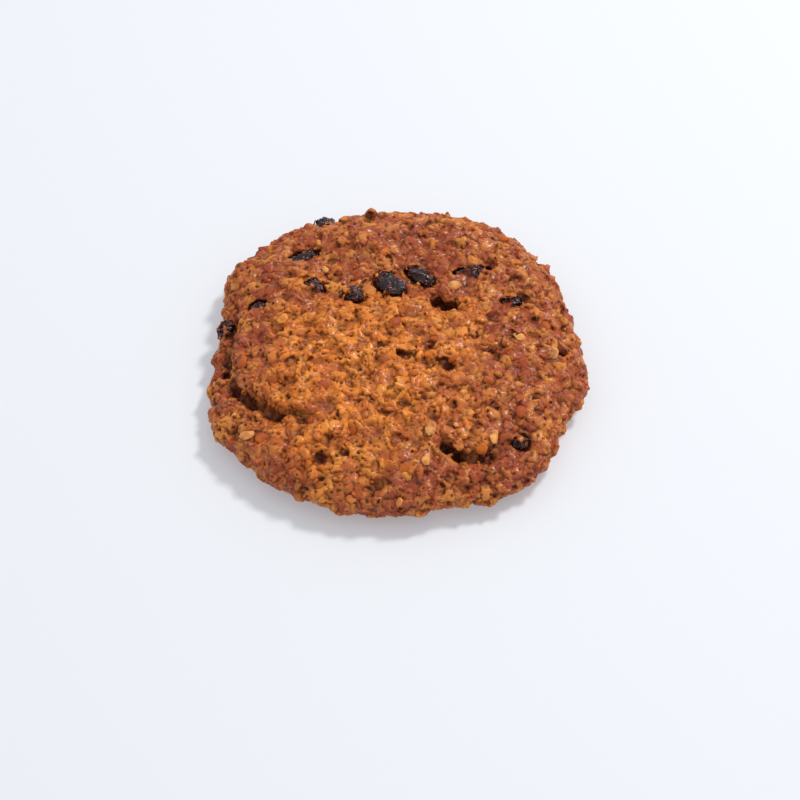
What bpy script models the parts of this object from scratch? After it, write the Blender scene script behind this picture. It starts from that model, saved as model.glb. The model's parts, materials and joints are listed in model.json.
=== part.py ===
"""An oatmeal raisin cookie lying flat: a craggy baked round with oats on its crust and raisins sunk in its top.

Metres, +Z up. The origin is on the surface that the cookie lies on, under the middle of its bounding box.
+X is to the right and +Y away from someone who stands in front of it.
"""

import math
import random
from collections import namedtuple

import bmesh
import bpy
import numpy as np
from mathutils import Matrix, Vector, noise
from mathutils.bvhtree import BVHTree

Crease = namedtuple("Crease", "path width depth step reach")
Pit = namedtuple("Pit", "x y size depth")
Mound = namedtuple("Mound", "x y radius height")
Lumps = namedtuple("Lumps", "size height groove seed")
Raisin = namedtuple("Raisin", "x y length width heading sink dimple")

# The smooth form. The edge radii run counter-clockwise from +X in equal steps.
EDGE_RADII = (
    0.0543, 0.0528, 0.0564, 0.0571, 0.0594, 0.0589, 0.0584, 0.0584, 0.0602, 0.0598, 0.0608, 0.0546,
    0.0554, 0.0576, 0.0616, 0.0608, 0.0612, 0.0608, 0.0608, 0.0591, 0.0620, 0.0603, 0.0556, 0.0570,
)  # fmt: skip
CENTRE_HEIGHT = 0.0172
SHOULDER_HEIGHT = 0.0142
EDGE_HEIGHT = 0.0058  # where the cookie is widest
SHOULDER_POWER = 9.0  # the higher, the squarer the shoulder
BASE_SHARE = 0.88  # of the edge radius that lies flat

# The foot: what lies flat. Few corners, so that the cookie stands still on a hard surface; around it the edge lifts.
FOOT_CORNERS = 7
FOOT_RADIUS = 0.0480
FOOT_DEPTH = 0.0004  # that the oven tray takes off the underside
TRAY_SLOPE = math.radians(14)
TRAY_RADIUS = 0.0720
TRAY_HEIGHT = 0.0300

# A crease is a fold in the crust. The side to the right of its path is lower by step, and rises back over reach.
CREASES = (
    Crease(
        ((-0.0481, 0.0109), (-0.0487, 0.0046), (-0.0496, -0.0014), (-0.0506, -0.0064), (-0.0497, -0.0122),
         (-0.0462, -0.0190), (-0.0420, -0.0228), (-0.0372, -0.0278), (-0.0296, -0.0312), (-0.0232, -0.0334)),
        0.0017, 0.0042, 0.0030, 0.0130,
    ),
    Crease(
        ((0.0094, -0.0396), (0.0127, -0.0411), (0.0173, -0.0430), (0.0238, -0.0440), (0.0290, -0.0406),
         (0.0325, -0.0372)),
        0.0015, 0.0022, 0.0022, 0.0080,
    ),
    Crease(
        ((0.0019, -0.0529), (0.0089, -0.0530), (0.0160, -0.0525), (0.0223, -0.0518), (0.0274, -0.0488)),
        0.0012, 0.0012, 0.0010, 0.0050,
    ),
    Crease(
        ((-0.0092, -0.0042), (-0.0045, -0.0054), (0.0011, -0.0086), (0.0058, -0.0116), (0.0081, -0.0146)),
        0.0012, 0.0020, 0.0, 0.0040,
    ),
    Crease(((0.0255, -0.0037), (0.0278, -0.0079), (0.0289, -0.0120)), 0.0013, 0.0020, 0.0, 0.0040),
    Crease(((-0.0344, 0.0080), (-0.0298, 0.0069), (-0.0254, 0.0082)), 0.0011, 0.0018, 0.0010, 0.0050),
    Crease(((-0.0105, -0.0533), (-0.0015, -0.0535)), 0.0011, 0.0018, 0.0010, 0.0040),
)  # fmt: skip
PITS = (
    Pit(0.0120, 0.0142, 0.0026, 0.0048),
    Pit(0.0154, 0.0122, 0.0026, 0.0046),
    Pit(0.0347, 0.0254, 0.0019, 0.0040),
    Pit(0.0130, -0.0417, 0.0019, 0.0034),
    Pit(0.0167, -0.0436, 0.0019, 0.0036),
    Pit(-0.0228, -0.0453, 0.0018, 0.0030),
    Pit(-0.0074, -0.0570, 0.0015, 0.0022),
    Pit(0.0293, -0.0280, 0.0016, 0.0026),
    Pit(0.0145, -0.0137, 0.0016, 0.0026),
    Pit(0.0483, -0.0049, 0.0016, 0.0024),
)
MOUNDS = (
    Mound(-0.0056, 0.0401, 0.0100, 0.0012),
    Mound(-0.0309, 0.0110, 0.0070, 0.0010),
    Mound(0.0111, -0.0081, 0.0080, 0.0009),
    Mound(-0.0318, -0.0093, 0.0130, 0.0012),
    Mound(-0.0038, -0.0409, 0.0090, 0.0008),
    Mound(0.0040, 0.0190, 0.0200, -0.0012),
    Mound(-0.0237, 0.0270, 0.0110, -0.0008),
)
LUMPS = (
    Lumps(0.0115, 0.00085, 0.0002, 3.0),
    Lumps(0.0056, 0.00075, 0.0007, 11.0),
)

# Raisins: the middle of each, its size, its heading in degrees, how deep its middle lies, and the hollow around it
RAISINS = (
    Raisin(-0.0288, 0.0358, 0.0100, 0.0056, 20, 0.0032, 0.0030),
    Raisin(-0.0254, 0.0204, 0.0076, 0.0060, -35, 0.0020, 0.0014),
    Raisin(-0.0139, 0.0165, 0.0082, 0.0070, -20, 0.0016, 0.0016),
    Raisin(-0.0023, 0.0206, 0.0120, 0.0074, -40, 0.0014, 0.0018),
    Raisin(0.0067, 0.0245, 0.0104, 0.0064, -42, 0.0018, 0.0014),
    Raisin(0.0228, 0.0272, 0.0108, 0.0064, 6, 0.0026, 0.0010),
    Raisin(0.0344, 0.0146, 0.0066, 0.0052, 15, 0.0024, 0.0012),
    Raisin(-0.0232, 0.0533, 0.0094, 0.0070, 70, 0.0014, 0.0008),
    Raisin(-0.0536, 0.0086, 0.0078, 0.0060, 80, 0.0024, 0.0006),
    Raisin(-0.0421, 0.0140, 0.0068, 0.0050, 10, 0.0024, 0.0010),
    Raisin(0.0357, -0.0393, 0.0058, 0.0046, 5, 0.0020, 0.0010),
)
RAISIN_THICKNESS = 0.74  # of the width
RAISIN_RIDGES = 6
RAISIN_WRINKLE = 0.12  # of the radius
RAISIN_DENTS = 0.40
RAISIN_TAPER = 0.14
RAISIN_VARIETY = 900.0
STEEPEST_SHARE = 0.96  # of the edge radius: raisins further out lean no further than one here
SOCKET_GAP = 0.00035

# Rolled oats: the largest ones, fused to the crust
FLAKE_PLACES = 735  # over the whole skin; those on a raisin or below FLAKE_FLOOR stay empty
FLAKE_SIDES = 6
FLAKE_LENGTHS = (0.0045, 0.0075)
FLAKE_ASPECTS = (0.62, 0.80)
FLAKE_THICKNESS = 0.0013
FLAKE_TOP = 0.84  # of its outline is left on its upper face
FLAKE_SKEW = 0.10
FLAKE_TILT = 28  # degrees, at most
FLAKE_LIFT = 0.0004  # of the middle above the crust
FLAKE_FLOOR = 0.0035  # no flake lies lower on the edge than this
FLAKE_CLEAR = 0.0022  # from a raisin
FLAKE_SEED = 7

TOP_STEEPNESS = 1.6  # the folds fade out where the skin turns steeper than its inverse
BASE_BARE = 0.0003  # the lumps start above this height, and are full LUMP_FADE higher
LUMP_FADE = 0.0030
LUMP_ROUNDING = 0.5
LUMP_DRAW = 7.3

SPHERE_LEVEL = 7
CORE_TRIANGLES = 9000
CRUST_TRIANGLES = 9900
CRUST_GRID = 0.0008
PROFILE_SAMPLES = 800

DOUGH_COLOUR = (0.47, 0.17, 0.045, 1.0)
RAISIN_COLOUR = (0.018, 0.010, 0.016, 1.0)


def clear_scene():
    for obj in list(bpy.data.objects):
        bpy.data.objects.remove(obj)


def material(name, colour, roughness):
    made = bpy.data.materials.new(name)
    made.use_nodes = True
    shader = made.node_tree.nodes["Principled BSDF"]
    shader.inputs["Base Color"].default_value = colour
    shader.inputs["Roughness"].default_value = roughness
    shader.inputs["Metallic"].default_value = 0.0
    return made


def new_object(name, mesh, finish=None, collection=None):
    obj = bpy.data.objects.new(name, mesh)
    (collection or bpy.context.scene.collection).objects.link(obj)
    if finish:
        obj.data.materials.append(finish)
    return obj


def apply_modifiers(obj):
    """The object's mesh as its modifiers leave it, without them."""
    graph = bpy.context.evaluated_depsgraph_get()
    made = bpy.data.meshes.new_from_object(obj.evaluated_get(graph))
    obj.modifiers.clear()
    obj.data = made


def edge_radius(angle):
    """The cookie's radius in a direction: a closed Catmull-Rom curve through EDGE_RADII."""
    radii = np.array(EDGE_RADII)
    count = len(radii)
    place = (np.asarray(angle) / (2 * math.pi) * count) % count
    k = np.floor(place).astype(int)
    t = place - k
    before, here, after, beyond = (radii[(k + i) % count] for i in (-1, 0, 1, 2))
    return here + 0.5 * t * (
        after - before + t * (2 * before - 5 * here + 4 * after - beyond + t * (3 * (here - after) + beyond - before))
    )


def top_height(share):
    """Height of the smooth top at a share of the edge radius."""
    dome = SHOULDER_HEIGHT + (CENTRE_HEIGHT - SHOULDER_HEIGHT) * (1 - share**2)
    return EDGE_HEIGHT + (dome - EDGE_HEIGHT) * np.sqrt(1 - share**SHOULDER_POWER)


def base_height(share):
    """Height of the underside before its foot is cut: flat, then a quarter of an ellipse up to the edge."""
    past = np.clip((share - BASE_SHARE) / (1 - BASE_SHARE), 0, 1)
    return EDGE_HEIGHT - (EDGE_HEIGHT + FOOT_DEPTH) * np.sqrt(1 - past**2)


def section():
    """The smooth section from the middle of the top to the middle of the base, as the share of the area that lies
    above each sample, its share of the edge radius, and its height."""
    turn = np.linspace(0, math.pi / 2, PROFILE_SAMPLES)
    share = np.sin(turn)
    share = np.concatenate([share, share[-2::-1]])
    height = np.concatenate([top_height(share[:PROFILE_SAMPLES]), base_height(share[PROFILE_SAMPLES:])])
    radius = share * np.mean(EDGE_RADII)
    area = np.hypot(np.diff(radius), np.diff(height)) * (radius[1:] + radius[:-1])
    above = np.concatenate([[0], np.cumsum(area)])
    return above / above[-1], share, height


def smooth_form(directions):
    """Points on the smooth cookie for unit vectors, spread evenly over its area."""
    above, share, height = section()
    down = (1 - directions[:, 2]) / 2
    angle = np.arctan2(directions[:, 1], directions[:, 0])
    radius = np.interp(down, above, share) * edge_radius(angle)
    return np.stack([radius * np.cos(angle), radius * np.sin(angle), np.interp(down, above, height)], 1)


def crease_relief(plan, crease):
    """How far a crease lowers the top at each point of the plan."""
    nearest = np.full(len(plan), 1e9)
    side, along = np.zeros(len(plan)), np.zeros(len(plan))
    path = np.array(crease.path)
    for i, (start, run) in enumerate(zip(path[:-1], np.diff(path, axis=0))):
        away = plan - start
        t = np.clip(away @ run / (run @ run), 0, 1)
        distance = np.linalg.norm(away - t[:, None] * run, axis=1)
        closer = distance < nearest
        nearest[closer] = distance[closer]
        cross = run[0] * away[:, 1] - run[1] * away[:, 0]
        side[closer] = np.sign(cross)[closer]
        along[closer] = ((i + t) / (len(path) - 1))[closer]
    fade = np.sqrt(np.clip(np.sin(math.pi * np.clip(along, 0.02, 0.98)), 0, 1))
    groove = crease.depth * np.exp(-((nearest / crease.width) ** 2))
    lower = np.where(side < 0, crease.step * np.exp(-((nearest / crease.reach) ** 2)), 0)
    return -fade * (groove + lower)


def shaped_top(plan):
    """The folds, holes, mounds and raisin hollows of the top, as a height added to the smooth form."""
    added = sum(crease_relief(plan, crease) for crease in CREASES)
    for pit in PITS:
        away = np.hypot(plan[:, 0] - pit.x, plan[:, 1] - pit.y)
        added = added - pit.depth * np.exp(-((away / pit.size) ** 4))
    for mound in MOUNDS:
        away = np.hypot(plan[:, 0] - mound.x, plan[:, 1] - mound.y)
        added = added + mound.height * np.exp(-((away / mound.radius) ** 2))
    for raisin in RAISINS:
        turn = math.radians(raisin.heading)
        x, y = plan[:, 0] - raisin.x, plan[:, 1] - raisin.y
        lengthwise = (x * math.cos(turn) + y * math.sin(turn)) / (raisin.length / 2)
        crosswise = (y * math.cos(turn) - x * math.sin(turn)) / (raisin.width / 2)
        added = added - raisin.dimple * np.exp(-(np.hypot(lengthwise, crosswise) ** 4))
    return added


def lump_relief(point, lumps):
    """Lumps of dough: rounded cells of uneven height with grooves between them."""
    distances, centres = noise.voronoi(point / lumps.size + Vector((lumps.seed, 0, 0)))
    rounded = min(1.0, (distances[1] - distances[0]) / LUMP_ROUNDING)
    uneven = noise.cell(centres[0] * LUMP_DRAW)
    return lumps.height * uneven * rounded - lumps.groove * (1 - rounded)


def thin_out(obj, triangles):
    """Leaves an object about this many triangles, most of them where it is most uneven."""
    count = sum(len(polygon.vertices) - 2 for polygon in obj.data.polygons)
    thin = obj.modifiers.new("Fewer faces", "DECIMATE")
    thin.ratio = triangles / count
    thin.use_collapse_triangulate = True
    apply_modifiers(obj)


def craggy_core():
    """The dough without its flakes: a sphere over the smooth form, with the relief pushed in along its normals."""
    mesh = bpy.data.meshes.new("core")
    bm = bmesh.new()
    bmesh.ops.create_icosphere(bm, subdivisions=SPHERE_LEVEL, radius=1.0)
    bm.to_mesh(mesh)
    bm.free()
    count = len(mesh.vertices)
    directions = np.empty(count * 3, np.float32)
    mesh.vertices.foreach_get("co", directions)
    points = smooth_form(directions.reshape(-1, 3).astype(float))
    mesh.vertices.foreach_set("co", points.astype(np.float32).ravel())
    mesh.update()
    normals = np.empty(count * 3, np.float32)
    mesh.vertex_normals.foreach_get("vector", normals)
    normals = normals.reshape(-1, 3)
    faces_up = np.clip(normals[:, 2] * TOP_STEEPNESS, 0, 1)
    off_base = np.clip((points[:, 2] - BASE_BARE) / LUMP_FADE, 0, 1)
    relief = np.array([sum(lump_relief(Vector(p), lumps) for lumps in LUMPS) for p in points])
    points += normals * (relief * off_base)[:, None]
    points[:, 2] += shaped_top(points[:, :2]) * faces_up
    mesh.vertices.foreach_set("co", points.astype(np.float32).ravel())
    mesh.update()
    core = new_object("cookie", mesh, material("baked_dough", DOUGH_COLOUR, 0.62))
    thin_out(core, CORE_TRIANGLES)
    return core


def flake_mesh(rng):
    """One rolled oat: an uneven oval plate, narrower on top, with its long way along X."""
    length = rng.uniform(*FLAKE_LENGTHS)
    width = length * rng.uniform(*FLAKE_ASPECTS)
    skew = rng.uniform(0, 2 * math.pi)
    bm = bmesh.new()
    rings = []
    for share, height in ((1.0, -FLAKE_THICKNESS / 2), (FLAKE_TOP, FLAKE_THICKNESS / 2)):
        ring = []
        for k in range(FLAKE_SIDES):
            turn = 2 * math.pi * (k + 0.5) / FLAKE_SIDES
            reach = share * (1 + FLAKE_SKEW * math.cos(2 * turn + skew)) / 2
            ring.append(bm.verts.new((reach * length * math.cos(turn), reach * width * math.sin(turn), height)))
        rings.append(ring)
    under, upper = rings
    bm.faces.new(reversed(under))
    bm.faces.new(upper)
    for k in range(FLAKE_SIDES):
        n = (k + 1) % FLAKE_SIDES
        bm.faces.new((under[k], under[n], upper[n], upper[k]))
    mesh = bpy.data.meshes.new("flake")
    bm.to_mesh(mesh)
    bm.free()
    return mesh


def spread_directions(count):
    """Unit vectors spread evenly over a sphere along a golden spiral, from the top down."""
    golden = math.pi * (3 - math.sqrt(5))
    for i in range(count):
        z = 1 - (2 * i + 1) / count
        across = math.sqrt(1 - z * z)
        yield across * math.cos(golden * i), across * math.sin(golden * i), z


def clear_of_raisins(point):
    return all(math.hypot(point.x - r.x, point.y - r.y) > (r.length + r.width) / 4 + FLAKE_CLEAR for r in RAISINS)


def scatter_flakes(core):
    """The collection of flakes that lie on the core, each tilted a little out of its surface."""
    rng = random.Random(FLAKE_SEED)
    tree = BVHTree.FromObject(core, bpy.context.evaluated_depsgraph_get())
    flakes = bpy.data.collections.new("flakes")
    bpy.context.scene.collection.children.link(flakes)
    for place in smooth_form(np.array(list(spread_directions(FLAKE_PLACES)))):
        if place[2] < FLAKE_FLOOR:
            continue
        point, normal, _, _ = tree.find_nearest(Vector(place))
        if not clear_of_raisins(point):
            continue
        flake = new_object("flake", flake_mesh(rng), collection=flakes)
        flat = normal.to_track_quat("Z", "Y").to_matrix().to_4x4()
        hinge = rng.uniform(0, 2 * math.pi)
        lean = Matrix.Rotation(math.radians(rng.uniform(0, FLAKE_TILT)), 4, (math.cos(hinge), math.sin(hinge), 0))
        spin = Matrix.Rotation(rng.uniform(0, 2 * math.pi), 4, "Z")
        flake.matrix_world = Matrix.Translation(point + normal * FLAKE_LIFT) @ flat @ lean @ spin
    return flakes


def join_or_cut(obj, collection, operation, solver):
    """One Boolean with a whole collection, applied, after which the collection's objects are removed."""
    boolean = obj.modifiers.new(operation.title(), "BOOLEAN")
    boolean.operation = operation
    boolean.operand_type = "COLLECTION"
    boolean.collection = collection
    boolean.solver = solver
    bpy.context.view_layer.update()
    apply_modifiers(obj)
    for other in list(collection.objects):
        bpy.data.objects.remove(other)
    bpy.data.collections.remove(collection)


def ring_of_corners(bm, radius, height):
    turns = (2 * math.pi * k / FOOT_CORNERS for k in range(FOOT_CORNERS))
    return [bm.verts.new((radius * math.cos(turn), radius * math.sin(turn), height)) for turn in turns]


def cut_foot(cookie):
    """Keeps what lies inside a shallow tray: a flat floor with straight sides that rise gently to beyond the edge."""
    bm = bmesh.new()
    across = math.cos(math.pi / FOOT_CORNERS)
    rise = (TRAY_RADIUS - FOOT_RADIUS) * across * math.tan(TRAY_SLOPE)
    rings = [
        ring_of_corners(bm, FOOT_RADIUS, 0.0),
        ring_of_corners(bm, TRAY_RADIUS, rise),
        ring_of_corners(bm, TRAY_RADIUS, TRAY_HEIGHT),
    ]
    bm.faces.new(reversed(rings[0]))
    bm.faces.new(rings[-1])
    for lower, upper in zip(rings[:-1], rings[1:]):
        for k in range(FOOT_CORNERS):
            n = (k + 1) % FOOT_CORNERS
            bm.faces.new((lower[k], lower[n], upper[n], upper[k]))
    mesh = bpy.data.meshes.new("tray")
    bm.to_mesh(mesh)
    bm.free()
    tray = bpy.data.collections.new("tray")
    bpy.context.scene.collection.children.link(tray)
    new_object("tray", mesh, collection=tray)
    join_or_cut(cookie, tray, "INTERSECT", "MANIFOLD")


def keep_outer_skin(obj):
    """Fills hollows that the Booleans sealed and drops loose scraps: only the largest skin stays."""
    bm = bmesh.new()
    bm.from_mesh(obj.data)
    unseen, skins = set(bm.verts), []
    while unseen:
        skin, front = set(), [unseen.pop()]
        while front:
            vert = front.pop()
            skin.add(vert)
            for edge in vert.link_edges:
                other = edge.other_vert(vert)
                if other in unseen:
                    unseen.remove(other)
                    front.append(other)
        skins.append(skin)
    largest = max(skins, key=len)
    bmesh.ops.delete(bm, geom=[vert for skin in skins if skin is not largest for vert in skin], context="VERTS")
    bm.to_mesh(obj.data)
    bm.free()


def bake_together(obj):
    """Fills the slits between flakes and crust and rounds their edges, by drawing the skin anew on an even grid."""
    remesh = obj.modifiers.new("Even grid", "REMESH")
    remesh.mode = "VOXEL"
    remesh.voxel_size = CRUST_GRID
    apply_modifiers(obj)


def raisin_place(raisin):
    """Where a raisin lies: level along the smooth crust under it, at its depth."""
    radius, edge = math.hypot(raisin.x, raisin.y), float(edge_radius(math.atan2(raisin.y, raisin.x)))
    share, step = min(radius / edge, STEEPEST_SHARE), 0.01
    slope = (top_height(share + step) - top_height(share - step)) / (2 * step * edge)
    outward = Vector((raisin.x, raisin.y, 0)) / radius
    normal = (Vector((0, 0, 1)) - outward * float(slope)).normalized()
    surface = Vector((raisin.x, raisin.y, float(top_height(share))))
    spin = Matrix.Rotation(math.radians(raisin.heading), 4, "Z")
    upright = Vector((0, 0, 1)).rotation_difference(normal).to_matrix().to_4x4()
    return Matrix.Translation(surface - normal * raisin.sink) @ upright @ spin


def raisin_mesh(raisin, gap=0.0):
    """A raisin along X: an uneven egg with long shallow furrows, enlarged so that a socket clears it by the gap."""
    bm = bmesh.new()
    own = Vector((raisin.x, raisin.y, raisin.length)) * RAISIN_VARIETY
    bmesh.ops.create_uvsphere(bm, u_segments=2 * RAISIN_RIDGES, v_segments=6, radius=1.0)
    half = Vector((raisin.length, raisin.width, raisin.width * RAISIN_THICKNESS)) / 2
    half *= 1 + gap / min(half)
    for vert in bm.verts:
        across, lengthwise = math.hypot(vert.co.x, vert.co.y), vert.co.z
        turn = math.atan2(vert.co.y, vert.co.x)
        furrow = 1 - RAISIN_WRINKLE * (0.5 - 0.5 * math.cos(RAISIN_RIDGES * turn)) * across
        dent = 1 + RAISIN_DENTS * noise.noise(vert.co * 1.3 + own)
        girth = across * furrow * dent * (1 - RAISIN_TAPER * lengthwise)
        vert.co = (lengthwise * dent * half.x, math.cos(turn) * girth * half.y, math.sin(turn) * girth * half.z)
    mesh = bpy.data.meshes.new("raisin")
    bm.to_mesh(mesh)
    bm.free()
    return mesh


def add_raisins(cookie):
    """The raisins, and the sockets in the crust that hold them."""
    skin = material("raisin_skin", RAISIN_COLOUR, 0.35)
    sockets = bpy.data.collections.new("sockets")
    bpy.context.scene.collection.children.link(sockets)
    for number, raisin in enumerate(RAISINS, 1):
        place = raisin_place(raisin)
        socket = new_object("socket", raisin_mesh(raisin, SOCKET_GAP), collection=sockets)
        socket.matrix_world = place
        body = new_object(f"raisin_{number:02d}", raisin_mesh(raisin), skin)
        body.data.transform(place)
    join_or_cut(cookie, sockets, "DIFFERENCE", "MANIFOLD")


def stand_at_origin():
    """Moves every piece so that the origin is under the middle of them all."""
    corners = np.array([v.co for obj in bpy.context.scene.collection.objects for v in obj.data.vertices])
    middle = (corners.min(0) + corners.max(0)) / 2
    shift = Matrix.Translation((-middle[0], -middle[1], -corners[:, 2].min()))
    for obj in bpy.context.scene.collection.objects:
        obj.data.transform(shift)


def build_cookie():
    clear_scene()
    cookie = craggy_core()
    join_or_cut(cookie, scatter_flakes(cookie), "UNION", "EXACT")
    bake_together(cookie)
    keep_outer_skin(cookie)
    thin_out(cookie, CRUST_TRIANGLES)
    cut_foot(cookie)
    add_raisins(cookie)
    keep_outer_skin(cookie)
    stand_at_origin()


build_cookie()
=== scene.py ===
"""The looks of an oatmeal raisin cookie: its craggy baked crust, loose oats, crumbs and wrinkled raisins.

Metres, +Z up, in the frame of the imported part. +Y points away from the camera.
"""

import json
import math
import random

import bpy
import numpy as np
from mathutils import Matrix, Vector
from mathutils.bvhtree import BVHTree

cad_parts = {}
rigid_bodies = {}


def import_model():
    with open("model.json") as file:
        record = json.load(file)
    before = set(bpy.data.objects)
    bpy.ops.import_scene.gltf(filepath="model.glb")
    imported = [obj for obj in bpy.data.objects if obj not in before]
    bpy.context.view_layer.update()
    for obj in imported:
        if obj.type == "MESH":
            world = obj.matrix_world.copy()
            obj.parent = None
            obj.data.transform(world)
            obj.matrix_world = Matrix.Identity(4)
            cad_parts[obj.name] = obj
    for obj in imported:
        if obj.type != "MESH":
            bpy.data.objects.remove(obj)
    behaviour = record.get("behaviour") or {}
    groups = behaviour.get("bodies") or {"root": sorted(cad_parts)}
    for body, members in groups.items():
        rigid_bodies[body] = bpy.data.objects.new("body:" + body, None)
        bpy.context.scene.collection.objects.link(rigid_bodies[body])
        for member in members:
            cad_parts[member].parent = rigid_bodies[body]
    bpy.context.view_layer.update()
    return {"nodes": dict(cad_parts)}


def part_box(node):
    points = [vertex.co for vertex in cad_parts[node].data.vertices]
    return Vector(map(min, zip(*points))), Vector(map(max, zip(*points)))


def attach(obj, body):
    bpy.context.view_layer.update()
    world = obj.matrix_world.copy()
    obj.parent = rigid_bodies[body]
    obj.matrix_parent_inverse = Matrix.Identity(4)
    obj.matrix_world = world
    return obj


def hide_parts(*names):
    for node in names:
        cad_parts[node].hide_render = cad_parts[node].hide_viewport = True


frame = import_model()

bl_info = {
    "name": "Oatmeal raisin cookie",
    "version": (1, 0, 0),
    "blender": (4, 5, 0),
    "location": "3D View > Sidebar > Cookie",
    "description": "Bakes the crust, oats, crumbs and raisins of an oatmeal cookie onto its plain solids",
    "category": "Object",
}

LOW, HIGH = (Vector(corner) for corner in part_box("cookie"))
SKY_RAYS = 12  # sent from each vertex to see how much of the sky is hidden
PROUD = 0.0004  # how far the looks may stand out of the solids' box
RAISIN_NODES = sorted(name for name in frame["nodes"] if name.startswith("raisin"))
RIM_LAP = 0.0020  # how far over the raisins the dough laps
OTHER_LAPS = {"raisin_06": 0.0048, "raisin_09": 0.0048, "raisin_10": 0.0010, "raisin_11": 0.0034}
GOLDEN_MIDDLE = (-0.012, -0.016)  # the middle of the crust's golden part
# What the underside, flat and plain, keeps for each field that colours the crust
PLAIN_DOUGH = {
    "lump": 1,
    "crumb": 1,
    "lump_tone": 0.4,
    "crumb_tone": 0.4,
    "oat": 0,
    "relief": 0.2,
    "shade": 0,
}

# The picture's side, and where it looks, right of and above the cookie's middle, in pixels
PICTURE_SIDE = 800
AIM_RIGHT = 2
AIM_UP = -50
KEY_PLACE = (0.64, 0.51, 1.18)
KEY_SIZE = 0.26

# Colours, linear
GOLDEN = (0.82, 0.235, 0.024, 1.0)
BROWN = (0.37, 0.070, 0.024, 1.0)
LIGHT = (0.86, 0.34, 0.055, 1.0)
RUSSET = (0.34, 0.058, 0.014, 1.0)
# Painted shade: the colour laid on the crust's crannies in place of their shadow
PAINTED_CREVICE_SHADE = (0.060, 0.0085, 0.003, 1.0)
PALE_OAT = (0.86, 0.44, 0.16, 1.0)
RAISIN_BLACK = (0.013, 0.006, 0.008, 1.0)
RAISIN_PURPLE = (0.095, 0.020, 0.042, 1.0)
FLOOR = (0.58, 0.60, 0.635, 1.0)
KEY_TINT = (1.0, 0.98, 0.95)
SKY_TINT = (0.97, 0.98, 1.0, 1.0)

# Pale oats that lie on top: x, y, length, heading in degrees, tone
PALE_OATS = (
    (0.0093, -0.0366, 0.0046, 75, 0.95),
    (0.0167, -0.0345, 0.0020, 0, 1.00),
    (0.0173, 0.0202, 0.0056, 60, 0.93),
    (0.0361, -0.0008, 0.0050, 10, 0.92),
    (0.0460, -0.0058, 0.0038, 85, 0.97),
    (-0.0435, -0.0355, 0.0048, 70, 0.93),
    (-0.0244, 0.0401, 0.0024, 0, 0.84),
    (-0.0246, 0.0238, 0.0022, 15, 0.84),
    (-0.0220, 0.0281, 0.0028, 150, 0.92),
    (-0.0344, 0.0059, 0.0046, 5, 0.83),
    (-0.0195, 0.0051, 0.0032, 40, 0.86),
    (-0.0228, -0.0047, 0.0030, 120, 0.90),
    (0.0272, -0.0382, 0.0046, 20, 0.92),
    (0.0042, -0.0067, 0.0026, 80, 0.84),
    (0.0078, -0.0469, 0.0040, 25, 0.88),
    (0.0004, -0.0584, 0.0028, 95, 0.86),
    (0.0027, -0.0515, 0.0032, 160, 0.85),
    (-0.0274, -0.0216, 0.0026, 50, 0.84),
)


class CookieCrust(bpy.types.PropertyGroup):
    grid: bpy.props.FloatProperty(
        name="Grid",
        description="Spacing of the grid that fuses oats and dough",
        default=0.00042,
        unit="LENGTH",
    )
    oat_length: bpy.props.FloatProperty(
        name="Oat length", description="Length of a usual rolled oat", default=0.0052, unit="LENGTH"
    )
    oat_spacing: bpy.props.FloatProperty(
        name="Oat spacing",
        description="Least distance between the middles of two oats",
        default=0.0028,
        unit="LENGTH",
    )
    lump: bpy.props.FloatProperty(
        name="Lumps", description="Width of a usual lump", default=0.0040, unit="LENGTH"
    )
    lump_depth: bpy.props.FloatProperty(
        name="Lump depth", description="Depth of the crannies between lumps", default=0.00062, unit="LENGTH"
    )
    crumb: bpy.props.FloatProperty(
        name="Crumbs", description="Width of a usual crumb", default=0.0017, unit="LENGTH"
    )
    crumb_depth: bpy.props.FloatProperty(
        name="Crumb depth", description="Depth of the crannies between crumbs", default=0.00025, unit="LENGTH"
    )
    faces: bpy.props.IntProperty(
        name="Faces", description="Triangles that the crust is left with", default=194000
    )
    golden: bpy.props.FloatVectorProperty(
        name="Golden", description="Crust in the middle", default=GOLDEN, size=4, subtype="COLOR"
    )
    brown: bpy.props.FloatVectorProperty(
        name="Brown", description="Crust at the edge", default=BROWN, size=4, subtype="COLOR"
    )
    # Painted shade: the colour laid on the crust's crevices in place of their shadow
    painted_crevice_shade: bpy.props.FloatVectorProperty(
        name="Dark", description="Crust in its crevices", default=PAINTED_CREVICE_SHADE, size=4, subtype="COLOR"
    )


class CookieOats(bpy.types.PropertyGroup):
    spacing: bpy.props.FloatProperty(
        name="Spacing", description="Least distance between two loose oats", default=0.0120, unit="LENGTH"
    )
    crumb_spacing: bpy.props.FloatProperty(
        name="Crumb spacing", description="Least distance between two crumbs", default=0.0038, unit="LENGTH"
    )
    pale: bpy.props.FloatVectorProperty(
        name="Pale", description="The palest oats", default=PALE_OAT, size=4, subtype="COLOR"
    )


class CookieRaisins(bpy.types.PropertyGroup):
    wrinkle: bpy.props.FloatProperty(
        name="Wrinkle", description="Depth of the furrows in the skin", default=0.0006, unit="LENGTH"
    )
    black: bpy.props.FloatVectorProperty(
        name="Black", description="Skin", default=RAISIN_BLACK, size=4, subtype="COLOR"
    )
    purple: bpy.props.FloatVectorProperty(
        name="Purple", description="Skin on its ridges", default=RAISIN_PURPLE, size=4, subtype="COLOR"
    )


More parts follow.
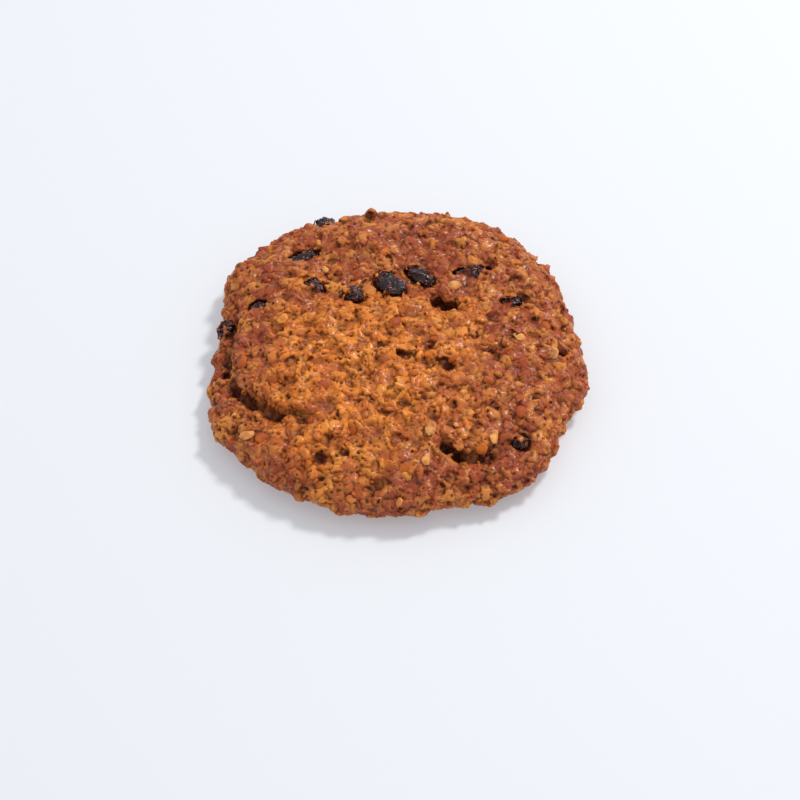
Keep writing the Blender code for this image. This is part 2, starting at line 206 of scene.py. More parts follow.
class CookieStage(bpy.types.PropertyGroup):
    elevation: bpy.props.FloatProperty(
        name="Elevation", description="Camera's height angle", default=math.radians(48.8), subtype="ANGLE"
    )
    distance: bpy.props.FloatProperty(
        name="Distance", description="From the camera to what it looks at", default=0.72, unit="LENGTH"
    )
    view_width: bpy.props.FloatProperty(
        name="View width", description="Width of the picture at that distance", default=0.2381, unit="LENGTH"
    )
    key_power: bpy.props.FloatProperty(
        name="Key light", description="Power of the key light", default=12.0, unit="POWER"
    )
    fill: bpy.props.FloatProperty(
        name="Fill", description="Strength of the light from all around", default=0.66
    )
    glow: bpy.props.FloatProperty(
        name="Glow", description="Strength of the floor's own faint light", default=0.4
    )


class Value:
    """A value in a node tree. Python's operators on it add Math nodes."""

    def __init__(self, net, socket):
        self.net = net
        self.socket = socket

    def math(self, operation, *operands):
        return self.net.node("ShaderNodeMath", {"operation": operation}, dict(enumerate(operands)))

    def __add__(self, other):
        return self.math("ADD", self, other)

    def __sub__(self, other):
        return self.math("SUBTRACT", self, other)

    def __rsub__(self, other):
        return self.math("SUBTRACT", other, self)

    def __mul__(self, other):
        return self.math("MULTIPLY", self, other)

    __radd__ = __add__
    __rmul__ = __mul__


class Net:
    """A node tree, wired by one call for each node."""

    def __init__(self, tree):
        self.tree = tree

    def node(self, kind, settings=None, inputs=None, output=0):
        made = self.tree.nodes.new(kind)
        for name, value in (settings or {}).items():
            setattr(made, name, value)
        for key, value in (inputs or {}).items():
            socket = self.pick(made.inputs, key)
            if isinstance(value, Value):
                self.tree.links.new(value.socket, socket)
            else:
                socket.default_value = value
        return Value(self, self.pick(made.outputs, output))

    @staticmethod
    def pick(sockets, key):
        if isinstance(key, int):
            return sockets[key]
        return next(socket for socket in sockets if socket.name == key and socket.enabled)

    def mix(self, factor, first, second, blend="MIX"):
        return self.node(
            "ShaderNodeMix", {"data_type": "RGBA", "blend_type": blend}, {0: factor, 6: first, 7: second}, 2
        )

    def ramp(self, value, low, high, to_low=0.0, to_high=1.0):
        return self.node("ShaderNodeMapRange", {}, {0: value, 1: low, 2: high, 3: to_low, 4: to_high})

    def noise(self, where, grain, detail=3.0, roughness=0.55):
        """Noise whose blotches are about this many metres across."""
        inputs = {"Vector": where, "Scale": 1.0 / grain, "Detail": detail, "Roughness": roughness}
        return self.node("ShaderNodeTexNoise", {}, inputs, "Fac")

    def vector(self, operation, *operands):
        inputs = dict(enumerate(operands))
        return self.node("ShaderNodeVectorMath", {"operation": operation}, inputs, "Vector")

    def scaled(self, vector, factor):
        inputs = {"Vector": vector, "Scale": factor}
        return self.node("ShaderNodeVectorMath", {"operation": "SCALE"}, inputs, "Vector")

    def cells(self, where, size, feature, output):
        """A pattern of packed cells, each about this many metres across."""
        inputs = {"Vector": where, "Scale": 1.0 / size}
        return self.node("ShaderNodeTexVoronoi", {"feature": feature}, inputs, output)

    def kept(self, geometry, name, value, domain="POINT"):
        """The geometry with a value kept on it as a named attribute."""
        inputs = {"Geometry": geometry, "Name": name, "Value": value}
        settings = {"data_type": "FLOAT", "domain": domain}
        return self.node("GeometryNodeStoreNamedAttribute", settings, inputs, "Geometry")

    def attribute(self, name):
        return self.node("ShaderNodeAttribute", {"attribute_name": name}, {}, "Fac")


def finish_named(name):
    """A new material with its net, its coordinates in metres and its shader."""
    made = bpy.data.materials.new(name)
    made.use_nodes = True
    net = Net(made.node_tree)
    where = net.node("ShaderNodeTexCoord", {}, {}, "Object")
    return made, net, where, made.node_tree.nodes["Principled BSDF"]


def connect(net, shader, **values):
    for name, value in values.items():
        net.tree.links.new(value.socket, shader.inputs[name.replace("_", " ")])


def deselect_all():
    if bpy.context.mode != "OBJECT":
        bpy.ops.object.mode_set(mode="OBJECT")
    bpy.ops.object.select_all(action="DESELECT")


def make_active(obj):
    deselect_all()
    obj.select_set(True)
    bpy.context.view_layer.objects.active = obj


def bake_modifier(obj, name, kind, **settings):
    """Adds a modifier, with its settings, and applies it."""
    make_active(obj)
    made = obj.modifiers.new(name, kind)
    for key, value in settings.items():
        setattr(made, key, value)
    bpy.ops.object.modifier_apply(modifier=made.name)


def solid_copy(node, name):
    """A copy of a CAD node with its loose triangles merged into one skin."""
    copy = frame["nodes"][node].copy()
    copy.data = copy.data.copy()
    copy.name = copy.data.name = name
    copy.parent = None
    copy.matrix_world = Matrix.Identity(4)
    bpy.context.scene.collection.objects.link(copy)
    make_active(copy)
    bpy.ops.object.mode_set(mode="EDIT")
    bpy.ops.mesh.select_all(action="SELECT")
    bpy.ops.mesh.remove_doubles(threshold=0.000001)
    bpy.ops.object.mode_set(mode="OBJECT")
    return copy


def drop_scraps(obj):
    """Deletes all that isn't joined to the highest vertex."""
    make_active(obj)
    bpy.ops.object.mode_set(mode="EDIT")
    bpy.ops.mesh.select_all(action="DESELECT")
    bpy.ops.object.mode_set(mode="OBJECT")
    max(obj.data.vertices, key=lambda v: v.co.z).select = True
    bpy.ops.object.mode_set(mode="EDIT")
    bpy.ops.mesh.select_linked()
    bpy.ops.mesh.select_all(action="INVERT")
    bpy.ops.mesh.delete(type="VERT")
    bpy.ops.object.mode_set(mode="OBJECT")


def positions(mesh):
    flat = np.empty(len(mesh.vertices) * 3, np.float32)
    mesh.vertices.foreach_get("co", flat)
    return flat.reshape(-1, 3).astype(float)


def normals(mesh):
    flat = np.empty(len(mesh.vertices) * 3, np.float32)
    mesh.vertex_normals.foreach_get("vector", flat)
    return flat.reshape(-1, 3).astype(float)


def set_positions(mesh, points):
    mesh.vertices.foreach_set("co", points.astype(np.float32).ravel())
    mesh.update()


def set_field(mesh, name, values):
    """Keeps one number for each vertex as a named attribute."""
    field = mesh.attributes.get(name) or mesh.attributes.new(name, "FLOAT", "POINT")
    field.data.foreach_set("value", np.asarray(values, np.float32))


def get_field(mesh, name):
    values = np.empty(len(mesh.vertices), np.float32)
    mesh.attributes[name].data.foreach_get("value", values)
    return values


def skin_tree(objects):
    """A search tree over the faces of several objects."""
    places, faces = [], []
    for obj in objects:
        start = len(places)
        places += [v.co.copy() for v in obj.data.vertices]
        faces += [[start + i for i in polygon.vertices] for polygon in obj.data.polygons]
    return BVHTree.FromPolygons(places, faces)


def raisin_tree():
    """A search tree over the raisins' own solids."""
    return skin_tree([frame["nodes"][node] for node in RAISIN_NODES])


def smoothed(mesh, points, rounds):
    """The vertices' places after some rounds of averaging with their neighbours."""
    ends = np.empty(len(mesh.edges) * 2, np.int32)
    mesh.edges.foreach_get("vertices", ends)
    first, second = ends.reshape(-1, 2).T
    count = len(points)
    degree = np.maximum(np.bincount(first, minlength=count) + np.bincount(second, minlength=count), 1)
    for _ in range(rounds):
        sums = [
            np.bincount(first, along[second], count) + np.bincount(second, along[first], count)
            for along in points.T
        ]
        points = np.stack(sums, 1) / degree[:, None]
    return points


def merged_copy(name, objects):
    """One object with copies of the meshes of several."""
    copies = []
    for obj in objects:
        copy = obj.copy()
        copy.data = obj.data.copy()
        bpy.context.scene.collection.objects.link(copy)
        copies.append(copy)
    make_active(copies[0])
    for copy in copies:
        copy.select_set(True)
    bpy.ops.object.join()
    copies[0].name = copies[0].data.name = name
    return copies[0]


def remove(obj):
    mesh = obj.data
    bpy.data.objects.remove(obj)
    bpy.data.meshes.remove(mesh)


def model_oat(name, seed, curl, thickness):
    """One rolled oat, a unit long: a flattened round, dented, and curled along its length."""
    deselect_all()
    bpy.ops.mesh.primitive_uv_sphere_add(segments=10, ring_count=6, radius=0.5)
    oat = bpy.context.object
    oat.name = name
    bpy.ops.object.mode_set(mode="EDIT")
    bpy.ops.mesh.select_all(action="SELECT")
    bpy.ops.transform.resize(value=(1.0, 0.74, thickness))
    bpy.ops.object.mode_set(mode="OBJECT")
    dents = bpy.data.textures.new(name + "_dents", "CLOUDS")
    dents.noise_scale = 0.35
    bake_modifier(oat, "Dents", "DISPLACE", texture=dents, strength=0.36, mid_level=0.5)
    points = positions(oat.data)
    points[:, 2] += curl * (points[:, 0] ** 2 - 0.08) + 0.10 * curl * np.sin(5 * points[:, 1] + seed)
    set_positions(oat.data, points)
    bpy.data.textures.remove(dents)
    return oat


def model_crumb(name, seed):
    """One crumb, a unit across: a round with flats and corners."""
    deselect_all()
    bpy.ops.mesh.primitive_ico_sphere_add(subdivisions=1, radius=0.5)
    crumb = bpy.context.object
    crumb.name = name
    rng = random.Random(seed)
    points = positions(crumb.data)
    points *= np.array([[rng.uniform(0.65, 1.15)] for _ in points])
    points[:, 2] *= 0.75
    set_positions(crumb.data, points)
    return crumb


def collect(name, objects):
    """Moves objects out of the scene into a collection of shapes."""
    shapes = bpy.data.collections.new(name)
    for obj in objects:
        for holder in list(obj.users_collection):
            holder.objects.unlink(obj)
        shapes.objects.link(obj)
    return shapes


def discard(shapes):
    for obj in list(shapes.objects):
        remove(obj)
    bpy.data.collections.remove(shapes)


def random_between(net, low, high, seed, kind="FLOAT"):
    inputs = {"Min": low, "Max": high, "Seed": seed}
    return net.node("FunctionNodeRandomValue", {"data_type": kind}, inputs, "Value")


def run_nodes(obj, name, build):
    """Applies the node tree that build makes, from the net and the object's geometry, to the object."""
    tree = bpy.data.node_groups.new(name, "GeometryNodeTree")
    for way in ("INPUT", "OUTPUT"):
        tree.interface.new_socket("Geometry", in_out=way, socket_type="NodeSocketGeometry")
    net = Net(tree)
    made = build(net, net.node("NodeGroupInput", output="Geometry"))
    tree.links.new(made.socket, tree.nodes.new("NodeGroupOutput").inputs["Geometry"])
    bake_modifier(obj, name, "NODES", node_group=tree)
    bpy.data.node_groups.remove(tree)


def scatter(name, ground, shapes, spacing, sizes, tilt, rise, seed, tones=(0.0, 1.0)):
    """Copies of the shapes on the ground's skin, where its cover allows, turned and sized at random.

    Each copy tilts by up to the given angle, stands off the skin by the given rise, and keeps a
    random tone between the two given.
    """

    def strewn(net, _):
        skin = net.node("GeometryNodeObjectInfo", {}, {"Object": ground}, "Geometry")
        allowed = net.node(
            "GeometryNodeInputNamedAttribute", {"data_type": "FLOAT"}, {"Name": "cover"}, "Attribute"
        )
        spread = net.node(
            "GeometryNodeDistributePointsOnFaces",
            {"distribute_method": "POISSON"},
            {
                "Mesh": skin,
                "Distance Min": spacing,
                "Density Max": 1.6 / spacing**2,
                "Density Factor": allowed,
                "Seed": seed,
            },
            "Points",
        )
        source = spread.socket.node
        upward, lie = Value(net, source.outputs["Normal"]), Value(net, source.outputs["Rotation"])
        risen = {"Geometry": spread, "Offset": net.scaled(upward, rise)}
        places = net.node("GeometryNodeSetPosition", {}, risen, "Geometry")
        least, most = (-tilt, -tilt, 0.0), (tilt, tilt, 2 * math.pi)
        turned = random_between(net, least, most, seed + 1, "FLOAT_VECTOR")
        turning = net.node("FunctionNodeEulerToRotation", {}, {"Euler": turned}, "Rotation")
        lying = net.node("FunctionNodeRotateRotation", {"rotation_space": "LOCAL"}, {0: lie, 1: turning}, 0)
        kinds = net.node(
            "GeometryNodeCollectionInfo",
            {},
            {"Collection": shapes, "Separate Children": True, "Reset Children": True},
            "Instances",
        )
        copies = net.node(
            "GeometryNodeInstanceOnPoints",
            {},
            {
                "Points": places,
                "Instance": kinds,
                "Pick Instance": True,
                "Instance Index": random_between(net, 0, len(shapes.objects) - 1, seed + 2, "INT"),
                "Rotation": lying,
                "Scale": random_between(net, (sizes[0],) * 3, (sizes[1],) * 3, seed + 3, "FLOAT_VECTOR"),
            },
            "Instances",
        )
        toned = net.kept(copies, "tone", random_between(net, *tones, seed + 4), "INSTANCE")
        return net.node("GeometryNodeRealizeInstances", {}, {"Geometry": toned}, "Geometry")

    scattered = bpy.data.objects.new(name, bpy.data.meshes.new(name))
    bpy.context.scene.collection.objects.link(scattered)
    run_nodes(scattered, name, strewn)
    set_positions(scattered.data, keep_in_box(positions(scattered.data), PROUD))
    return scattered


def smooth_step(values, low, high):
    t = np.clip((values - low) / (high - low), 0, 1)
    return t * t * (3 - 2 * t)


def mark_cover(ground, raisins, steepest):
    """Where oats may lie on the ground: above the foot, facing up, off the raisins, out of creases."""
    points, upward = positions(ground.data), normals(ground.data)
    off_base = smooth_step(points[:, 2], 0.0020, 0.0050)
    facing = smooth_step(upward[:, 2], steepest, steepest + 0.4)
    clear = np.array([raisins.find_nearest(Vector(point))[3] for point in points])
    open_sky = 1 - smooth_step(get_field(ground.data, "shade"), 0.38, 0.62)
    set_field(ground.data, "cover", off_base * facing * open_sky * smooth_step(clear, 0.0008, 0.0016))


def mark_rims(raisin, dough, reach):
    """Where dough laps over a raisin: on its upper side, within this reach of the dough around it."""
    points, upward = positions(raisin.data), normals(raisin.data)
    near = np.array([dough.find_nearest(Vector(point))[3] for point in points])
    lapped = 0.12 + 0.88 * (1 - smooth_step(near, reach * 0.5, reach))
    set_field(raisin.data, "cover", smooth_step(upward[:, 2], 0.0, 0.3) * lapped)


def press_down(mesh, ground, height):
    """Presses what stands further than this over the ground most of the way back to that height."""
    points = positions(mesh)
    for i, point in enumerate(points):
        foot, upward, _, away = ground.find_nearest(Vector(point))
        if away > height and (Vector(point) - foot).dot(upward) > 0:
            points[i] = foot + (Vector(point) - foot) * ((height + (away - height) * 0.15) / away)
    set_positions(mesh, points)


def keep_in_box(points, proud):
    """Presses what stands further than this out of the CAD box, or at all below it, back to it."""
    lowest = (LOW.x - proud, LOW.y - proud, LOW.z)
    highest = (HIGH.x + proud, HIGH.y + proud, HIGH.z + proud)
    return np.clip(points, lowest, highest)


def keep_shade(mesh, reach):
    """Keeps how much of the sky over each vertex its surroundings hide, from 0 in the open to 1."""
    points, outward = positions(mesh), normals(mesh)
    mesh.calc_loop_triangles()
    triangles = [triangle.vertices[:] for triangle in mesh.loop_triangles]
    tree = BVHTree.FromPolygons(points.tolist(), triangles)
    heights = 1 - 2 * (np.arange(SKY_RAYS) + 0.5) / SKY_RAYS
    turns = np.arange(SKY_RAYS) * math.pi * (3 - math.sqrt(5))
    sides = np.sqrt(1 - heights**2)
    sky = np.stack([sides * np.cos(turns), sides * np.sin(turns), heights], 1)
    hidden = np.zeros(len(points))
    starts = points + outward * 0.00012
    for direction in sky:
        rays = outward * 1.05 + direction
        for i, (start, ray) in enumerate(zip(starts.tolist(), rays.tolist())):
            if tree.ray_cast(start, ray, reach)[0] is not None:
                hidden[i] += 1
    set_field(mesh, "shade", smoothed(mesh, np.repeat(hidden[:, None] / SKY_RAYS, 3, 1), 1)[:, 0])


def keep_relief(mesh):
    """Keeps how far each vertex, a little smoothed, stands above its wider surroundings, in millimetres."""
    points = positions(mesh)
    near = smoothed(mesh, points, 5)
    far = smoothed(mesh, near, 70)
    set_positions(mesh, far)
    outward = normals(mesh)
    set_positions(mesh, points)
    set_field(mesh, "relief", 1000 * np.einsum("ij,ij->i", near - far, outward))


def pack_lumps(crust, settings):
    """Swells the skin inside the cells of two patterns and sinks it along their edges, like packed lumps.

    Keeps how swollen each place is and a tone for each cell: lump, lump_tone, crumb, crumb_tone.
    """

    def packed(net, skin):
        where = net.node("GeometryNodeInputPosition")
        height = net.node("ShaderNodeSeparateXYZ", {}, {0: where}, "Z")
        waves = net.node("ShaderNodeTexNoise", {}, {"Vector": where, "Scale": 1 / settings.lump}, "Color")
        push = net.scaled(net.vector("SUBTRACT", waves, (0.5, 0.5, 0.5)), settings.lump)
        bent = net.vector("ADD", where, push)
        calm = net.ramp(net.noise(where, 0.012, 1.0), 0.50, 0.66)
        pore = net.ramp(net.noise(where, 0.0012, 2.0), 0.41, 0.34)
        shift = 0.0
        for name, size, depth in (
            ("lump", settings.lump, settings.lump_depth),
            ("crumb", settings.crumb, (1.0 - calm * 0.6) * settings.crumb_depth),
        ):
            gap = net.cells(bent, size, "DISTANCE_TO_EDGE", "Distance")
            own = net.node("FunctionNodeSeparateColor", {}, {0: net.cells(bent, size, "F1", "Color")}, "Red")
            swollen = net.ramp(gap, 0.0, 0.17)
            swollen = swollen * (2.0 - swollen) * (1.0 - pore)
            shift = (swollen * (own * 0.9 + 0.5) - 0.8) * depth + shift
            skin = net.kept(net.kept(skin, name, swollen), name + "_tone", own)
        faded = net.ramp(height, LOW.z + 0.0006, LOW.z + 0.0040)
        outward = net.node("GeometryNodeInputNormal")
        offset = net.scaled(outward, shift * faded)
        return net.node("GeometryNodeSetPosition", {}, {"Geometry": skin, "Offset": offset}, "Geometry")

    run_nodes(crust, "packed_lumps", packed)


def keep_oat_tones(mesh, oats, reach):
    """Keeps the tone of the oat that lies at each vertex, and how near it lies, from 0 at this reach to 1."""
    tones = [value.value for value in oats.data.attributes["tone"].data]
    corners = [polygon.vertices[0] for polygon in oats.data.polygons]
    lying = skin_tree([oats])
    points = positions(mesh)
    tone, oat = np.full(len(points), 0.5), np.zeros(len(points))
    for i, point in enumerate(points):
        _, _, face, away = lying.find_nearest(Vector(point), reach)
        if face is not None:
            tone[i] = tones[corners[face]]
            oat[i] = 1 - away / reach
    set_field(mesh, "tone", tone)
    set_field(mesh, "oat", oat)


def keep_edge_and_left_shade(mesh):
    """Keeps how near the browner edge each vertex lies, outwards and downwards, plus painted shade on the
    left side.
    """
    points = positions(mesh)
    across = (points[:, 0] - GOLDEN_MIDDLE[0]) / HIGH.x
    along = (points[:, 1] - GOLDEN_MIDDLE[1]) / HIGH.y
    # Painted shade: the left side made browner, as it would lie in shade with the light from the right
    painted_left_shade = smooth_step(-points[:, 0], 0.032, 0.052) * 0.35
    set_field(mesh, "edge", np.hypot(across, along) * 0.9 + (1 - points[:, 2] / HIGH.z) * 0.35 + painted_left_shade)


def even_foot(mesh):
    """Gives the flat underside the kept values of plain dough, which its few wide triangles would streak."""
    foot = positions(mesh)[:, 2] < LOW.z + 0.0004
    for name, value in PLAIN_DOUGH.items():
        set_field(mesh, name, np.where(foot, value, get_field(mesh, name)))


def dress(piece, material, node=None):
    """Gives a finished piece its material and slot, smooth shading and a place on the root body, and hides
    the CAD node that it stands for, if there is one.
    """
    piece.data.materials.clear()
    piece.data.materials.append(material)
    piece.data.shade_smooth()
    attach(piece, "root")
    if node:
        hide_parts(node)


def soften(shader):
    """Baked dough lets light a little way in, red furthest, and has a weak gloss."""
    shader.inputs["Specular IOR Level"].default_value = 0.20
    shader.inputs["Coat Roughness"].default_value = 0.25
    shader.inputs["Subsurface Weight"].default_value = 0.25
    shader.inputs["Subsurface Radius"].default_value = (1.0, 0.35, 0.12)
    shader.inputs["Subsurface Scale"].default_value = 0.0008


def crust_material(settings):
    """Baked dough: golden in the middle, browner at the edge, with painted shade in its crannies and on its
    left side, uneven in tone.
    """
    made, net, where, shader = finish_named("baked_crust")
    blotch = net.noise(where, 0.016, 2.0)
    # The edge field also carries painted shade on the left side
    browned = net.ramp(net.attribute("edge") + (blotch - 0.5) * 0.9, 0.36, 0.80)
    colour = net.mix(browned, settings.golden, settings.brown)
    colour = net.mix(net.ramp(net.attribute("edge"), 0.85, 1.35) * 0.55, colour, RUSSET)
    patch = net.ramp(net.noise(where, 0.009, 1.0), 0.54, 0.66)
    colour = net.mix(patch * 0.35, colour, settings.brown)
    near_oat = net.ramp(net.attribute("oat"), 0.0, 0.6)
    for tone, share in (
        (net.attribute("lump_tone"), 0.40),
        (net.attribute("crumb_tone"), 0.45),
        (net.attribute("tone"), near_oat * 0.50),
    ):
        colour = net.mix(net.ramp(tone, 0.45, 0.0) * share, colour, RUSSET)
        colour = net.mix(net.ramp(tone, 0.55, 1.0) * share, colour, LIGHT)
    speckle = net.noise(where, 0.0009, 3.0, 0.6)
    colour = net.mix(net.ramp(speckle, 0.52, 0.70) * 0.12, colour, LIGHT)
    colour = net.mix(net.ramp(speckle, 0.46, 0.30) * 0.22, colour, RUSSET)
    # Painted shade: darker between crumbs and lumps, in the lows of the relief and where the surroundings
    # hide the sky
    colour = net.mix(net.ramp(net.attribute("crumb"), 0.55, 0.0) * 0.38, colour, settings.painted_crevice_shade)
    colour = net.mix(net.ramp(net.attribute("lump"), 0.65, 0.0) * 0.60, colour, settings.painted_crevice_shade)
    colour = net.mix(net.ramp(net.attribute("relief"), 0.05, -0.80) * 0.55, colour, settings.painted_crevice_shade)
    colour = net.mix(net.ramp(net.attribute("shade"), 0.12, 0.40) * 0.80, colour, settings.painted_crevice_shade)
    gloss = net.noise(where, 0.0020, 4.0, 0.65)
    roughness = net.ramp(gloss, 0.38, 0.62, 0.26, 0.78)
    sheen = net.ramp(net.attribute("shade"), 0.16, 0.05) * net.ramp(gloss, 0.60, 0.42) * 0.60
    grain = net.noise(where, 0.0005, 4.0, 0.65)
    rough = {"Strength": 0.32, "Distance": 0.00020, "Height": grain + speckle * 0.8}
    bump = net.node("ShaderNodeBump", {}, rough, "Normal")
    connect(net, shader, Base_Color=colour, Roughness=roughness, Coat_Weight=sheen, Normal=bump)
    soften(shader)
    return made


class BakeCrust(bpy.types.Operator):
    """Covers the cookie's solid with oats, fuses them to it, packs it with lumps and colours it"""

    bl_idname = "cookie.bake_crust"
    bl_label = "Bake the crust"

    def execute(self, context):
        settings = context.scene.cookie_crust
        crust = solid_copy("cookie", "cookie_crust")
        keep_shade(crust.data, reach=0.008)
        mark_cover(crust, raisin_tree(), steepest=-0.25)
        dough = skin_tree([crust])
        sunk = []
        for node in RAISIN_NODES:
            raisin = solid_copy(node, "sunk_" + node)
            bake_modifier(raisin, "Rounding", "SUBSURF", levels=2, render_levels=2)
            mark_rims(raisin, dough, OTHER_LAPS.get(node, RIM_LAP))
            sunk.append(raisin)
        sunk_raisins = merged_copy("sunk_raisins", sunk)
        shapes = collect(
            "oat_shapes",
            [
                model_oat("oat_a", seed=1, curl=0.4, thickness=0.20),
                model_oat("oat_b", seed=4, curl=-0.3, thickness=0.24),
                model_oat("oat_c", seed=9, curl=0.6, thickness=0.18),
            ],
        )
        lengths = (settings.oat_length * 0.6, settings.oat_length * 1.25)
        oats = scatter(
            "fused_oats", crust, shapes, settings.oat_spacing, lengths, tilt=0.32, rise=0.0002, seed=3
        )
        press_down(oats.data, dough, height=0.0007)
        flaps = scatter(
            "flaps", sunk_raisins, shapes, 0.0013, (0.0020, 0.0042), tilt=0.25, rise=0.0003, seed=91
        )
        discard(shapes)
        for obj in [sunk_raisins, *sunk]:
            remove(obj)
        fused = merged_copy("fused", [oats])
        make_active(crust)
        fused.select_set(True)
        flaps.select_set(True)
        bpy.ops.object.join()
        bake_modifier(crust, "Fuse", "REMESH", mode="VOXEL", voxel_size=settings.grid)
        drop_scraps(crust)
        set_positions(crust.data, smoothed(crust.data, positions(crust.data), 6))
        pack_lumps(crust, settings)
        share = min(1.0, settings.faces / (2 * len(crust.data.polygons)))
        bake_modifier(crust, "Thin out", "DECIMATE", ratio=share, use_collapse_triangulate=True)
        set_positions(crust.data, keep_in_box(positions(crust.data), PROUD))
        keep_relief(crust.data)
        keep_shade(crust.data, reach=0.004)
        keep_oat_tones(crust.data, oats, reach=0.0008)
        remove(oats)
        keep_edge_and_left_shade(crust.data)
        even_foot(crust.data)
        dress(crust, crust_material(settings), "cookie")
        return {"FINISHED"}


def oat_material(settings):
    """Oats and crumbs: the browner ones like the crust, the palest like raw oats."""
    made, net, where, shader = finish_named("toasted_oats")
    tone = net.attribute("tone")
    colour = net.mix(net.ramp(tone, 0.0, 0.5), RUSSET, GOLDEN)
    colour = net.mix(net.ramp(tone, 0.5, 0.8), colour, LIGHT)
    colour = net.mix(net.ramp(tone, 0.8, 1.0), colour, settings.pale)
    colour = net.mix(net.ramp(net.noise(where, 0.0025), 0.42, 0.60) * 0.55, colour, BROWN)
    speckle = net.noise(where, 0.0009, 3.0, 0.6)
    colour = net.mix(net.ramp(speckle, 0.48, 0.30) * 0.45, colour, RUSSET)
    grain = net.noise(where, 0.0004, 3.0, 0.6)
    bump = net.node("ShaderNodeBump", {}, {"Strength": 0.5, "Distance": 0.0001, "Height": grain}, "Normal")
    connect(net, shader, Base_Color=colour, Roughness=net.ramp(speckle, 0.35, 0.65, 0.40, 0.70), Normal=bump)
    soften(shader)
    return made


def lay_on(ground, shape, place, length, heading, tone):
    """A copy of a shape that lies on the ground's skin below a place, with its own tone."""
    spot, upward, _, _ = ground.ray_cast(Vector((*place, 1.0)), Vector((0, 0, -1)))
    turn = upward.to_track_quat("Z", "Y").to_matrix().to_4x4() @ Matrix.Rotation(heading, 4, "Z")
    lift = Matrix.Translation(spot + upward * 0.10 * length)
    flake = shape.copy()
    flake.data = shape.data.copy()
    flake.data.transform(lift @ turn @ Matrix.Scale(length, 4))
    set_field(flake.data, "tone", np.full(len(flake.data.vertices), tone))
    set_positions(flake.data, keep_in_box(positions(flake.data), PROUD))
    bpy.context.scene.collection.objects.link(flake)
    return flake


class StrewOats(bpy.types.Operator):
    """Strews loose oats and crumbs on the crust"""

    bl_idname = "cookie.strew_oats"
    bl_label = "Strew oats and crumbs"

    def execute(self, context):
        settings = context.scene.cookie_oats
        crust = bpy.data.objects["cookie_crust"]
        mark_cover(crust, raisin_tree(), steepest=0.45)
        skin = oat_material(settings)
        flakes = [
            model_oat("flake_a", seed=2, curl=0.35, thickness=0.20),
            model_oat("flake_b", seed=6, curl=-0.3, thickness=0.24),
        ]
        shapes = collect("flake_shapes", flakes)
        oats = scatter(
            "loose_oats",
            crust,
            shapes,
            settings.spacing,
            (0.0026, 0.0052),
            tilt=0.20,
            rise=0.0,
            seed=53,
            tones=(0.0, 0.38),
        )
        ground = skin_tree([crust])
        press_down(oats.data, ground, height=0.0008)
        laid = [
            lay_on(ground, flakes[i % 2], (x, y), length, math.radians(heading), tone)
            for i, (x, y, length, heading, tone) in enumerate(PALE_OATS)
        ]
        make_active(oats)
        for flake in laid:
            flake.select_set(True)
        bpy.ops.object.join()
        discard(shapes)
        dress(oats, skin)

        shapes = collect("crumb_shapes", [model_crumb("crumb_%d" % seed, seed) for seed in range(5)])
        crumbs = scatter(
            "crumbs",
            crust,
            shapes,
            settings.crumb_spacing,
            (0.0009, 0.0018),
            tilt=0.6,
            rise=0.0,
            seed=71,
            tones=(0.0, 0.55),
        )
        discard(shapes)
        dress(crumbs, skin)
        return {"FINISHED"}


def raisin_material(settings):
    """Raisin skin: near black, purple on its ridges, with a soft gloss."""
    made, net, where, shader = finish_named("wrinkled_skin")
    bloom = net.noise(where, 0.0016, 3.0)
    purple = net.ramp(net.attribute("ridge"), 0.3, 1.0) * net.ramp(bloom, 0.40, 0.62)
    colour = net.mix(purple, settings.black, settings.purple)
    stuck = net.ramp(net.noise(where, 0.0018, 3.0), 0.58, 0.64)
    colour = net.mix(stuck * 0.55, colour, BROWN)
    roughness = net.ramp(net.noise(where, 0.0024, 2.0), 0.42, 0.58, 0.14, 0.48)
    grain = net.noise(where, 0.0004, 3.0)
    bump = net.node("ShaderNodeBump", {}, {"Strength": 0.5, "Distance": 0.00012, "Height": grain}, "Normal")
    connect(net, shader, Base_Color=colour, Roughness=roughness, Normal=bump)
    shader.inputs["Specular IOR Level"].default_value = 0.55
    return made


def wrinkle(raisin, depth):
    """Furrows the skin along the lines where two noises cross their middle.

    Keeps ridge, from 0 in a furrow to 1 between furrows.
    """

    def furrowed(net, skin):
        where = net.node("GeometryNodeInputPosition")
        ridge = 1.0
        for grain, width in ((0.0032, 0.10), (0.0017, 0.14)):
            wave = net.noise(where, grain, 1.0) - 0.5
            ridge = net.ramp(wave.math("ABSOLUTE", wave), 0.0, width) * ridge
        swell = net.noise(where, 0.0030, 1.0) - 0.5
        outward = net.node("GeometryNodeInputNormal")
        offset = net.scaled(outward, (ridge - 0.9) * depth + swell * 1.4 * depth)
        ridged = {"Geometry": net.kept(skin, "ridge", ridge), "Offset": offset}
        return net.node("GeometryNodeSetPosition", {}, ridged, "Geometry")

    run_nodes(raisin, "furrows", furrowed)


class WrinkleRaisins(bpy.types.Operator):
    """Makes the raisins, each a wrinkled skin over its own solid"""

    bl_idname = "cookie.wrinkle_raisins"
    bl_label = "Wrinkle the raisins"

    def execute(self, context):
        settings = context.scene.cookie_raisins
        skin = raisin_material(settings)
        for node in RAISIN_NODES:
            raisin = solid_copy(node, node.replace("raisin", "raisin_skin"))
            bake_modifier(raisin, "Rounding", "SUBSURF", levels=3, render_levels=3)
            wrinkle(raisin, settings.wrinkle)
            dress(raisin, skin, node)
        return {"FINISHED"}


def plain_finish(name, colour, roughness, glow):
    """A plain finish that also glows faintly in its own colour, which keeps the shadows on it pale."""
    made, _, _, shader = finish_named(name)
    shader.inputs["Base Color"].default_value = colour
    shader.inputs["Roughness"].default_value = roughness
    shader.inputs["Emission Color"].default_value = colour
    shader.inputs["Emission Strength"].default_value = glow
    return made


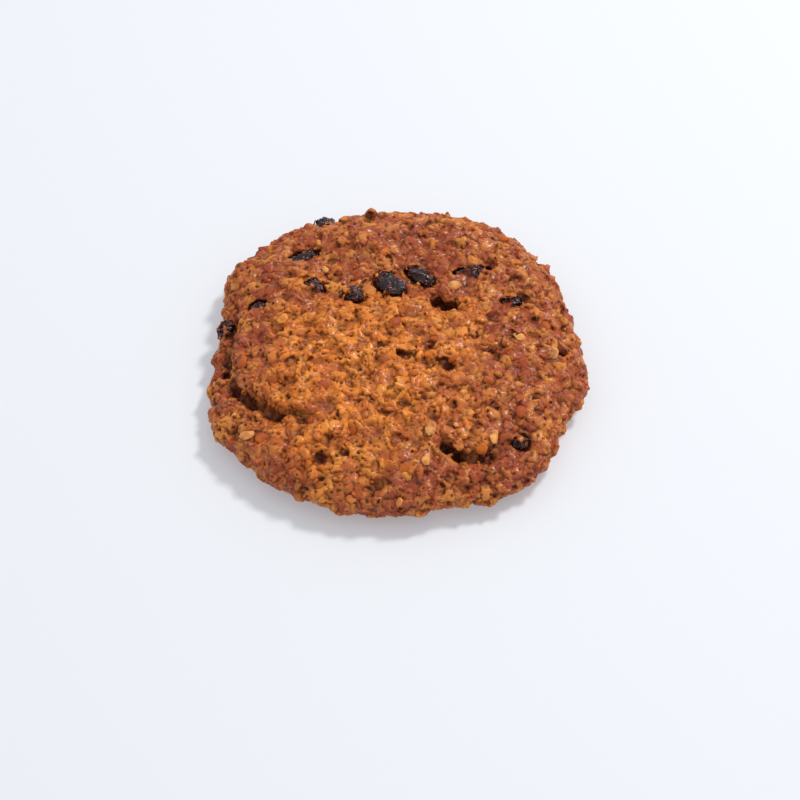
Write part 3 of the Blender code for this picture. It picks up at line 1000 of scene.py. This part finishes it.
class SetStage(bpy.types.Operator):
    """Adds the floor, the lights and the camera"""

    bl_idname = "cookie.set_stage"
    bl_label = "Set the stage"

    def execute(self, context):
        settings = context.scene.cookie_stage
        deselect_all()
        bpy.ops.mesh.primitive_plane_add(size=6.0, location=(0, 0, LOW.z - 0.0002))
        floor = context.object
        floor.name = "floor"
        floor.data.transform(floor.matrix_world)
        floor.matrix_world = Matrix.Identity(4)
        floor.data.materials.append(plain_finish("pale_floor", FLOOR, 0.7, settings.glow))

        toward = Vector((0, -math.cos(settings.elevation), math.sin(settings.elevation)))
        upward = Vector((0, math.sin(settings.elevation), math.cos(settings.elevation)))
        pixel = settings.view_width / PICTURE_SIDE
        middle = Vector((0, 0, (LOW.z + HIGH.z) / 2))
        aim = middle + Vector((AIM_RIGHT * pixel, 0, 0)) + upward * AIM_UP * pixel
        bpy.ops.object.camera_add(location=aim + toward * settings.distance)
        camera = context.object
        camera.rotation_euler = toward.to_track_quat("Z", "Y").to_euler()
        camera.data.sensor_width = 36
        camera.data.lens = 36 * settings.distance / settings.view_width
        camera.data.clip_start = 0.01
        context.scene.camera = camera

        bpy.ops.object.light_add(type="AREA", location=KEY_PLACE)
        key = context.object
        key.name = "key_light"
        key.rotation_euler = key.location.to_track_quat("Z", "Y").to_euler()
        key.data.size = KEY_SIZE
        key.data.energy = settings.key_power
        key.data.color = KEY_TINT

        world = bpy.data.worlds.new("studio")
        world.use_nodes = True
        sky = world.node_tree.nodes["Background"]
        sky.inputs["Color"].default_value = SKY_TINT
        sky.inputs["Strength"].default_value = settings.fill
        context.scene.world = world
        context.scene.view_settings.view_transform = "Standard"
        return {"FINISHED"}


class CookiePanel(bpy.types.Panel):
    """Lists the steps that dress the cookie"""

    bl_idname = "COOKIE_PT_steps"
    bl_label = "Oatmeal cookie"
    bl_space_type = "VIEW_3D"
    bl_region_type = "UI"
    bl_category = "Cookie"

    def draw(self, context):
        for step, group in STEPS:
            self.layout.operator(step.bl_idname)
            settings = getattr(context.scene, group)
            for name in settings.__annotations__:
                self.layout.prop(settings, name)


STEPS = (
    (BakeCrust, "cookie_crust"),
    (StrewOats, "cookie_oats"),
    (WrinkleRaisins, "cookie_raisins"),
    (SetStage, "cookie_stage"),
)
GROUPS = {
    "cookie_crust": CookieCrust,
    "cookie_oats": CookieOats,
    "cookie_raisins": CookieRaisins,
    "cookie_stage": CookieStage,
}


def register():
    for group, settings in GROUPS.items():
        bpy.utils.register_class(settings)
        setattr(bpy.types.Scene, group, bpy.props.PointerProperty(type=settings))
    for step, _ in STEPS:
        bpy.utils.register_class(step)
    bpy.utils.register_class(CookiePanel)


def unregister():
    bpy.utils.unregister_class(CookiePanel)
    for step, _ in reversed(STEPS):
        bpy.utils.unregister_class(step)
    for group, settings in GROUPS.items():
        delattr(bpy.types.Scene, group)
        bpy.utils.unregister_class(settings)


def main():
    register()
    for step, _ in STEPS:
        family, action = step.bl_idname.split(".")
        getattr(getattr(bpy.ops, family), action)()


if __name__ == "__main__":
    main()
